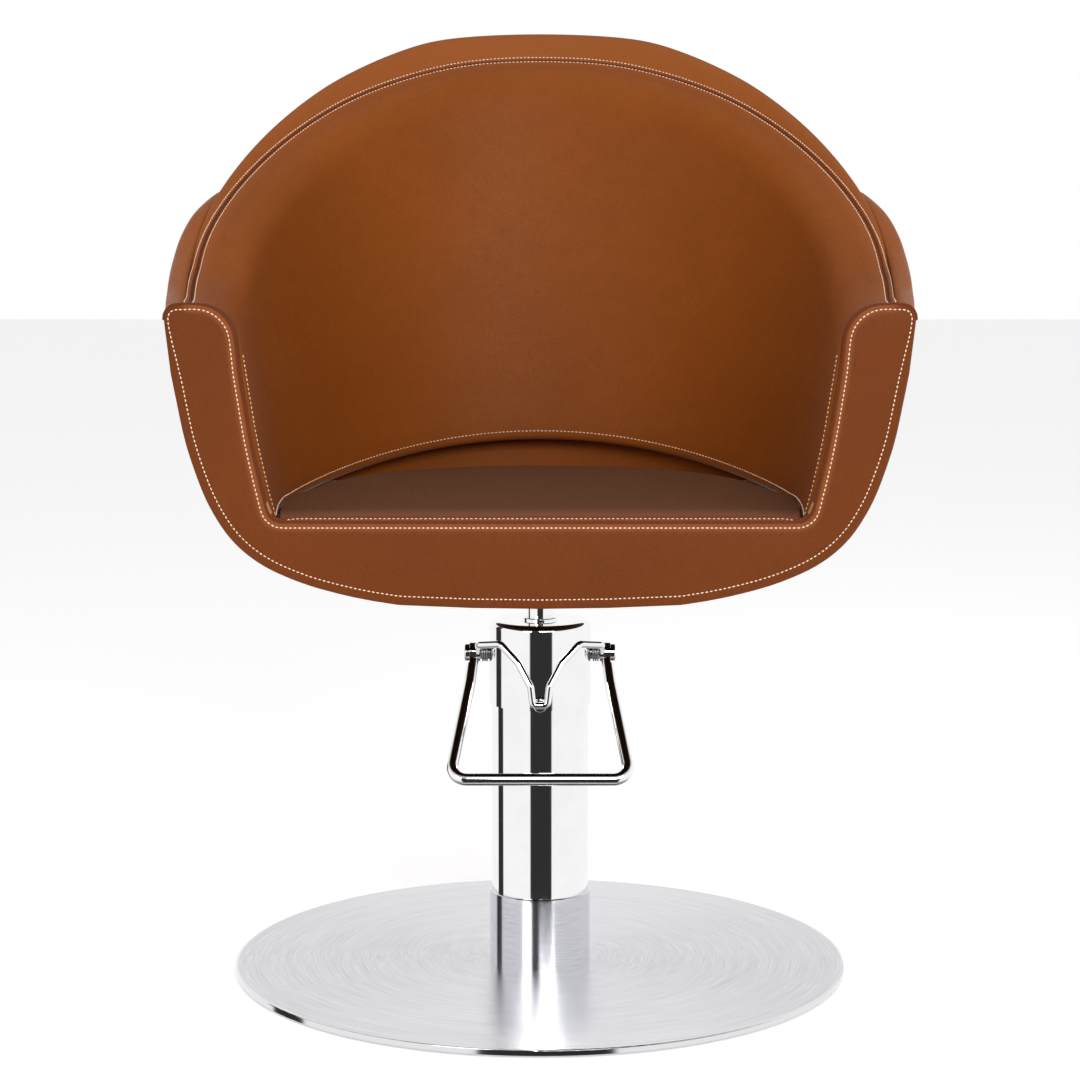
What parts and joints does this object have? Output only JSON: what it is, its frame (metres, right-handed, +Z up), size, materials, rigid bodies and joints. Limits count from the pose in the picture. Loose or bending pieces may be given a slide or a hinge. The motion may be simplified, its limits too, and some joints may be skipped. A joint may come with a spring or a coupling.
{
  "type": "styling chair",
  "caption": "Tub-shaped leather salon styling chair on a round brushed steel base, with a chrome hydraulic column, foot pedal, lift and free swivel.",
  "frame": {"origin": "on the floor, on the axis of the column", "axes": "+Z up, -Y towards the front of the chair, +X to the left side of a seated person"},
  "size_m": [0.6894, 0.6234, 0.9195],
  "materials": {
    "tan_leather": "smooth tan upholstery leather with a fine grain and pale stitching",
    "beech_ply": "moulded plywood, hidden",
    "black_cloth": "black woven dust cover",
    "black_rubber": "matt black rubber",
    "black_paint": "satin black paint on steel",
    "cast_head": "machined casting, hidden",
    "brushed_disc": "stainless steel brushed in circles",
    "brushed_collar": "satin stainless steel",
    "bright_chrome": "mirror chrome",
    "plain_steel": "zinc-plated steel",
    "bronze": "sintered bronze"
  },
  "bodies": {
    "base": {"base_cover": "brushed_disc", "base_plate": "black_paint", "check_balls": "plain_steel", "column_collar": "brushed_collar", "column_tube": "bright_chrome", "cylinder_flange": "black_paint", "cylinder_head": "cast_head", "flange_screws": "plain_steel", "floor_mat": "black_rubber", "gland_ring": "bright_chrome", "guide_bush": "bronze", "inner_cylinder": "plain_steel", "pedal_spring_left": "plain_steel", "pedal_spring_right": "plain_steel", "pivot_bolt_left": "bright_chrome", "pivot_bolt_right": "bright_chrome", "pivot_spacer_left": "plain_steel", "pivot_spacer_right": "plain_steel", "pump_sleeve": "bright_chrome", "reservoir_tube": "black_paint", "rod_seal": "black_rubber", "valve_plugs": "plain_steel"},
    "ram_slider": {"ram": "bright_chrome", "piston": "plain_steel", "piston_seal": "black_rubber", "piston_nut": "plain_steel", "swivel_washer": "bronze"},
    "seat": {"seat_bracket": "black_paint", "bracket_bolts": "plain_steel", "tee_nuts": "plain_steel", "tub_shell": "beech_ply", "seat_board": "beech_ply", "back_panel": "beech_ply", "panel_screws": "plain_steel", "front_frame": "beech_ply", "underside_cover": "black_cloth", "seat_cushion": "tan_leather", "rear_lining": "tan_leather", "back_pad": "tan_leather", "back_rim": "tan_leather", "back_skin": "tan_leather", "arm_rim": "tan_leather", "front_band": "tan_leather", "cover_upper_left": "tan_leather", "cover_upper_rear": "tan_leather", "cover_upper_right": "tan_leather", "cover_lower_left": "tan_leather", "cover_lower_rear": "tan_leather", "cover_lower_right": "tan_leather"},
    "pedal": {"pedal_bail": "bright_chrome", "pump_lever": "bright_chrome"},
    "pump_plunger": {"plunger": "bright_chrome"}
  },
  "joints": [
    {"name": "seat_lift", "type": "slide", "parent": "base", "child": "ram_slider", "axis": [0, 0, 1], "range_m": [0, 0.14]},
    {"name": "seat_swivel", "type": "hinge", "parent": "ram_slider", "child": "seat", "pos_m": [0, 0, 0.362], "axis": [0, 0, 1], "continuous": true},
    {"name": "pedal_hinge", "type": "hinge", "parent": "base", "child": "pedal", "pos_m": [0, 0, 0.313], "axis": [1, 0, 0], "range_deg": [0, 12], "stiffness_Nm_per_rad": 3, "springref_deg": -22.92},
    {"name": "plunger_slide", "type": "slide", "parent": "base", "child": "pump_plunger", "axis": [0, 1, 0], "range_m": [0, 0.0095]}
  ],
  "couplings": [
    {"joint": "plunger_slide", "follows": "pedal_hinge", "m_per_rad": 0.0425}
  ]
}
